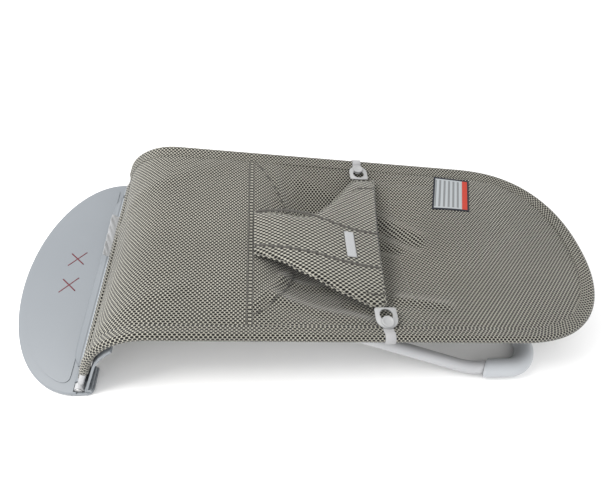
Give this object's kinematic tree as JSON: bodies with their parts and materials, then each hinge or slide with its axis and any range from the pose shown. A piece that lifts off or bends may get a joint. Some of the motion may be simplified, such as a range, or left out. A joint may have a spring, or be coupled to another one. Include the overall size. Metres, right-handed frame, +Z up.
{
  "type": "bouncer seat",
  "caption": "Folding infant bouncer seat: mesh sling on a bent wire frame, half-round foot plate, tubular rear leg with sliding catches and a buttoned crotch harness",
  "frame": {"origin": "on the floor, in the middle of the bounding box", "axes": "+X from the foot plate to the head, +Y the child's right, +Z up"},
  "size_m": [0.8722, 0.39, 0.1191],
  "materials": {
    "plate": "satin moulded plastic, light blue grey",
    "frame": "light grey powder coat on steel",
    "steel": "zinc plated pins and screws",
    "nylon": "near white moulded nylon",
    "rubber": "matt grey rubber",
    "seat_mesh": "open knitted spacer mesh, warm grey",
    "harness_mesh": "coarser spacer mesh, warm grey",
    "webbing": "light grey woven tape",
    "label": "white woven label"
  },
  "bodies": {
    "base": {"base_plate": "plate", "base_cover": "plate", "grip_pad_front": "rubber", "grip_pad_right": "rubber", "grip_pad_left": "rubber", "shin_guard_right": "plate", "shin_guard_left": "plate", "hinge_pin_right": "steel", "hinge_pin_left": "steel", "guard_screw_1_right": "steel", "guard_screw_1_left": "steel", "guard_screw_2_right": "steel", "guard_screw_2_left": "steel"},
    "seat": {"foot_crossbar": "frame", "head_rail": "frame", "foot_panel": "seat_mesh", "seat_panel": "seat_mesh", "back_panel": "seat_mesh", "harness_panel": "harness_mesh", "harness_tag": "label", "back_label": "label", "care_tag": "label", "hinge_eye_right": "frame", "hinge_eye_left": "frame", "side_rail_right": "frame", "side_rail_left": "frame", "leg_mount_right": "frame", "leg_mount_left": "frame", "pivot_pin_right": "steel", "pivot_pin_left": "steel", "harness_clip_right": "nylon", "harness_clip_left": "nylon", "belt_strap_right": "webbing", "belt_strap_left": "webbing"},
    "leg": {"rear_tube": "frame", "leg_head_right": "plate", "leg_head_left": "plate", "leg_tube_right": "frame", "leg_tube_left": "frame", "corner_sleeve_right": "plate", "corner_sleeve_left": "plate", "sleeve_sole_right": "rubber", "sleeve_sole_left": "rubber"},
    "catch_right": {"latch_grip_right": "plate"},
    "catch_left": {"latch_grip_left": "plate"},
    "button_right": {"harness_button_right": "nylon"},
    "button_left": {"harness_button_left": "nylon"}
  },
  "joints": [
    {"name": "recline", "type": "hinge", "parent": "base", "child": "seat", "pos_m": [-0.31707, 0, 0.01], "axis": [0, -1, 0], "range_deg": [0, 41]},
    {"name": "leg_fold", "type": "hinge", "parent": "seat", "child": "leg", "pos_m": [-0.00095, 0, 0.08], "axis": [0, -1, 0], "range_deg": [-82, 0]},
    {"name": "catch_slide_right", "type": "slide", "parent": "leg", "child": "catch_right", "axis": [0.9479, 0.1584, -0.2765], "range_m": [-0.0025, 0.003], "stiffness_N_per_m": 800},
    {"name": "catch_slide_left", "type": "slide", "parent": "leg", "child": "catch_left", "axis": [0.9479, -0.1584, -0.2765], "range_m": [-0.0025, 0.003], "stiffness_N_per_m": 800},
    {"name": "button_slide_right", "type": "slide", "parent": "seat", "child": "button_right", "axis": [0, -1, 0], "range_m": [0, 0.011]},
    {"name": "button_slide_left", "type": "slide", "parent": "seat", "child": "button_left", "axis": [0, 1, 0], "range_m": [0, 0.011]}
  ],
  "couplings": [
    {"joint": "leg_fold", "follows": "recline", "ratio": -2}
  ]
}
